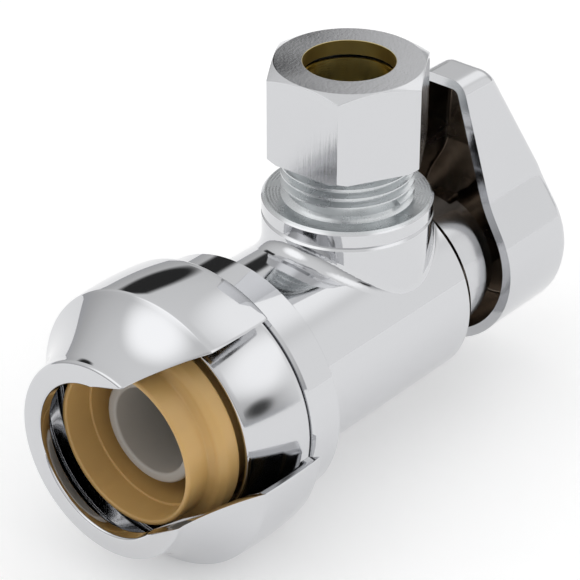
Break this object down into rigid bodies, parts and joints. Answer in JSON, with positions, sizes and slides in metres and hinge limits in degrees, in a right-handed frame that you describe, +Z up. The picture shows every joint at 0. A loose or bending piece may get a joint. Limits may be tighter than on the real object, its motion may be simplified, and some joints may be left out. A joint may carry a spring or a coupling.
{
  "type": "angle stop valve",
  "caption": "Chromed quarter-turn angle stop: push-fit inlet under a slotted cover, upright compression outlet, lever handle at the rear.",
  "frame": {"origin": "centre of the release collar's mouth, where the inlet tube goes in", "axes": "-Y out of the inlet along the tube, +Z up along the outlet, the handle is at +Y on the inlet axis"},
  "size_m": [0.0312, 0.0655, 0.0456],
  "materials": {
    "polished_chrome": "polished chrome plate on brass or zinc",
    "satin_chrome": "machined and chrome plated, faint cutter lines",
    "plated_ball": "polished hard chrome on brass",
    "stainless": "stamped or cold-headed stainless steel",
    "raw_brass": "turned brass, unplated",
    "tan_acetal": "moulded tan acetal, satin",
    "black_acetal": "moulded black acetal",
    "grey_plastic": "moulded grey-white plastic",
    "white_ptfe": "machined white fluoropolymer",
    "black_rubber": "moulded EPDM rubber, dark"
  },
  "bodies": {
    "valve": {"valve_body": "polished_chrome", "inlet_end_cap": "polished_chrome", "collar_retainer": "black_acetal", "grab_ring": "stainless", "grab_ring_spacer": "tan_acetal", "inlet_o_ring": "black_rubber", "tube_liner": "grey_plastic", "inlet_seat": "white_ptfe", "rear_seat": "white_ptfe", "outlet_seat": "white_ptfe", "bonnet": "polished_chrome", "bonnet_o_ring": "black_rubber"},
    "cover": {"inlet_shroud": "polished_chrome"},
    "collar": {"release_collar": "tan_acetal"},
    "handle_set": {"handle": "polished_chrome", "handle_screw": "stainless", "stem": "raw_brass", "stem_o_ring_inner": "black_rubber", "stem_o_ring_outer": "black_rubber", "thrust_washer": "white_ptfe", "ball": "plated_ball"},
    "ferrule_lift": {"ferrule": "raw_brass"},
    "nut": {"compression_nut": "satin_chrome"}
  },
  "joints": [
    {"name": "handle_turn", "type": "hinge", "parent": "valve", "child": "handle_set", "pos_m": [0, 0.05, 0], "axis": [0, -1, 0], "range_deg": [0, 90]},
    {"name": "collar_press", "type": "slide", "parent": "valve", "child": "collar", "axis": [0, 1, 0], "range_m": [0, 0.002]},
    {"name": "cover_spin", "type": "hinge", "parent": "valve", "child": "cover", "pos_m": [0, 0.005, 0], "axis": [0, -1, 0], "continuous": true},
    {"name": "ferrule_rise", "type": "slide", "parent": "valve", "child": "ferrule_lift", "axis": [0, 0, 1], "range_m": [0, 0.00423]},
    {"name": "nut_turn", "type": "hinge", "parent": "ferrule_lift", "child": "nut", "pos_m": [0, 0.0347, 0.025], "axis": [0, 0, 1], "range_deg": [0, 1440]}
  ],
  "couplings": [
    {"joint": "nut_turn", "follows": "ferrule_rise", "rad_per_m": 5936.9}
  ]
}
